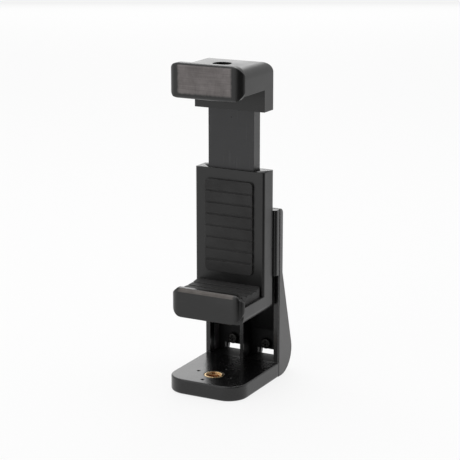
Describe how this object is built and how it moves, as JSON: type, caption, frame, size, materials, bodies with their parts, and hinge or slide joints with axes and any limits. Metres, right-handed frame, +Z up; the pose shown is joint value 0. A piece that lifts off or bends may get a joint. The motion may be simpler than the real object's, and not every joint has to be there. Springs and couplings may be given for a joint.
{
  "type": "tripod phone mount adapter",
  "caption": "Sprung clamp with two padded jaws on a humped upright, on a short rounded foot plate with a brass tripod socket; holds a phone sideways.",
  "frame": {"origin": "on the tripod thread's axis, at the foot plate's underside", "axes": "+Z up along the upright, +Y to the rear, away from the side the phone is put in from, +X to the right seen from the front"},
  "size_m": [0.032, 0.0467, 0.1268],
  "materials": {
    "black_plastic": "moulded black plastic with a fine satin grain",
    "slide_plastic": "smooth black acetal, slightly polished by sliding",
    "rubber": "matt black rubber",
    "brass": "turned brass",
    "black_screw": "blackened steel",
    "zinc_steel": "zinc-plated steel",
    "spring_steel": "drawn spring wire"
  },
  "bodies": {
    "frame": {"foot_bracket": "black_plastic", "rear_shell": "black_plastic", "tripod_insert": "brass", "web_screws": "black_screw", "mount_screws": "zinc_steel", "clamp_housing": "black_plastic", "housing_cover": "black_plastic", "cover_screws": "black_screw", "stop_screw": "black_screw", "lower_jaw_pad": "rubber", "back_pad": "rubber", "lower_spring_pins": "zinc_steel", "spring_left": "spring_steel", "spring_right": "spring_steel"},
    "sliding_jaw": {"upper_jaw": "black_plastic", "slide_tongue": "slide_plastic", "jaw_screws": "black_screw", "upper_jaw_pad": "rubber", "accessory_nut": "black_screw", "spring_pin": "zinc_steel"}
  },
  "joints": [
    {"name": "jaw_slide", "type": "slide", "parent": "frame", "child": "sliding_jaw", "axis": [0, 0, 1], "range_m": [-0.0215, 0.01], "deforming": ["spring_left", "spring_right"]}
  ]
}
